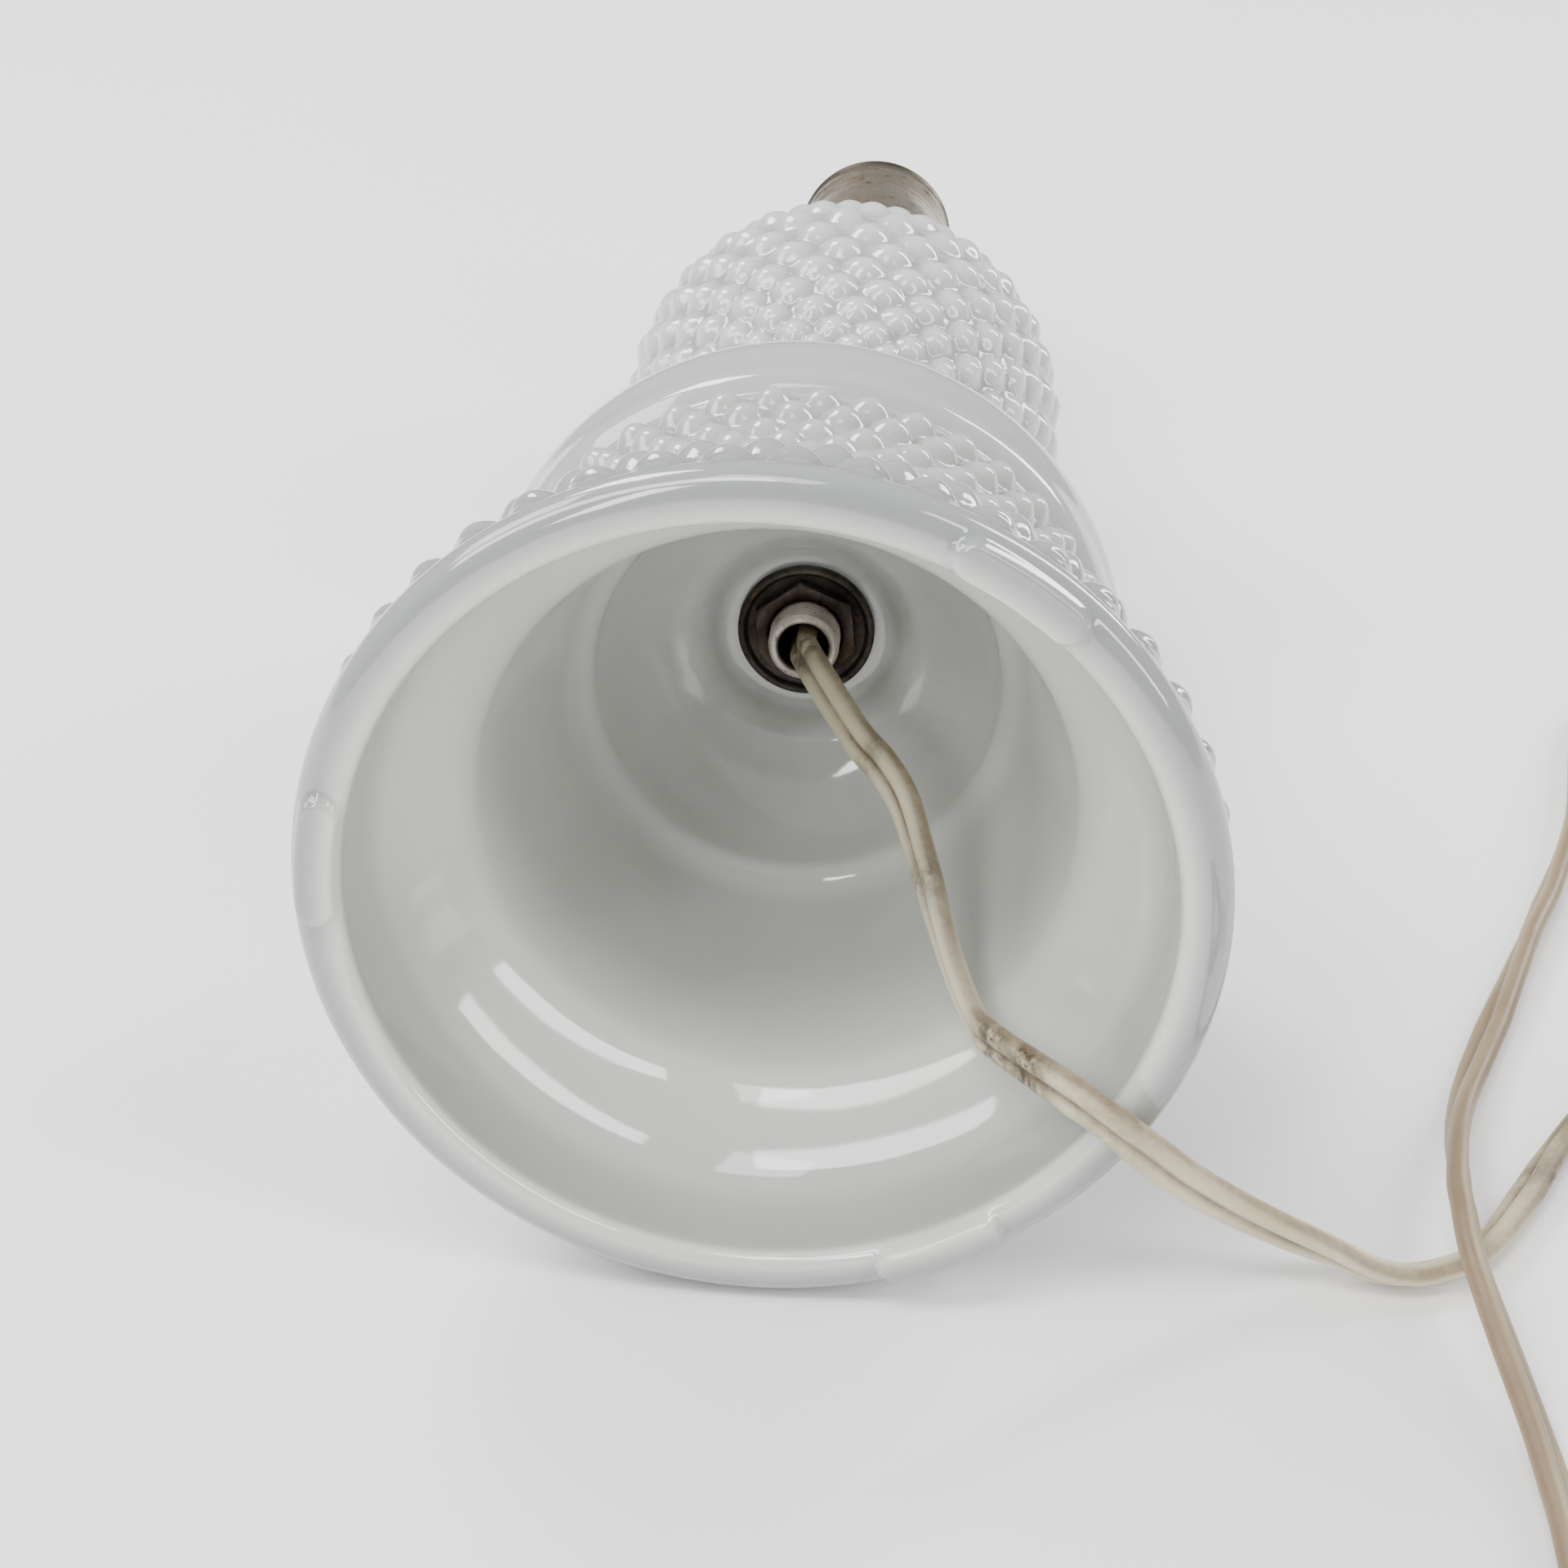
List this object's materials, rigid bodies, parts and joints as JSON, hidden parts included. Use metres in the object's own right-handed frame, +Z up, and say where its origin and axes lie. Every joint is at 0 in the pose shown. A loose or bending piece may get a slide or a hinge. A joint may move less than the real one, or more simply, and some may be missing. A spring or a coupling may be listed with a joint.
{
  "type": "hobnail glass table lamp",
  "caption": "Small white hobnail glass lamp lying on its side, bell-shaped hollow foot towards the viewer, with nut, pipe, lamp socket, turn switch, twin cord and plug.",
  "frame": {"origin": "middle of the lying lamp, on the surface that it lies on", "axes": "+Y along the lamp from its open foot to its socket, +Z up from the surface, +X to the right seen from the foot"},
  "size_m": [0.2076, 0.427, 0.103],
  "materials": {
    "foot_glass": "gloss",
    "ball_glass": "gloss",
    "dark_steel": "oxidised",
    "pipe_metal": "dull",
    "waist_brass": "tarnished",
    "cap_metal": "tarnished",
    "socket_metal": "tarnished",
    "screw_brass": "satin",
    "sleeve_board": "matt",
    "dark_phenolic": "satin",
    "thread_metal": "satin",
    "cord_vinyl": "yellowed",
    "knob_plastic": "gloss",
    "tie_plastic": "matt",
    "plug_vinyl": "yellowed",
    "blade_metal": "satin"
  },
  "bodies": {
    "lamp": {"bell_base": "foot_glass", "bottom_washer": "dark_steel", "bottom_nut": "dark_steel", "lamp_pipe": "pipe_metal", "waist_ring": "waist_brass", "ball_body": "ball_glass", "vase_cap": "cap_metal", "lock_nut": "cap_metal", "socket_cap": "socket_metal", "set_screw": "screw_brass", "socket_shell": "socket_metal", "insulating_sleeve": "sleeve_board", "socket_core": "dark_phenolic", "screw_shell": "thread_metal", "centre_contact": "screw_brass", "terminal_screws": "screw_brass", "conductor_leads": "cord_vinyl", "cord_in_pipe": "cord_vinyl", "cord_run": "cord_vinyl", "cord_coil": "cord_vinyl", "cord_tail": "cord_vinyl", "coil_tie": "tie_plastic", "plug_body": "plug_vinyl", "plug_blades": "blade_metal"},
    "switch": {"switch_shaft": "screw_brass", "switch_knob": "knob_plastic"}
  },
  "joints": [
    {"name": "switch_turn", "type": "hinge", "parent": "lamp", "child": "switch", "pos_m": [0, 0.115, 0.02932], "axis": [-0.8192, -0.05, -0.5714], "continuous": true}
  ]
}
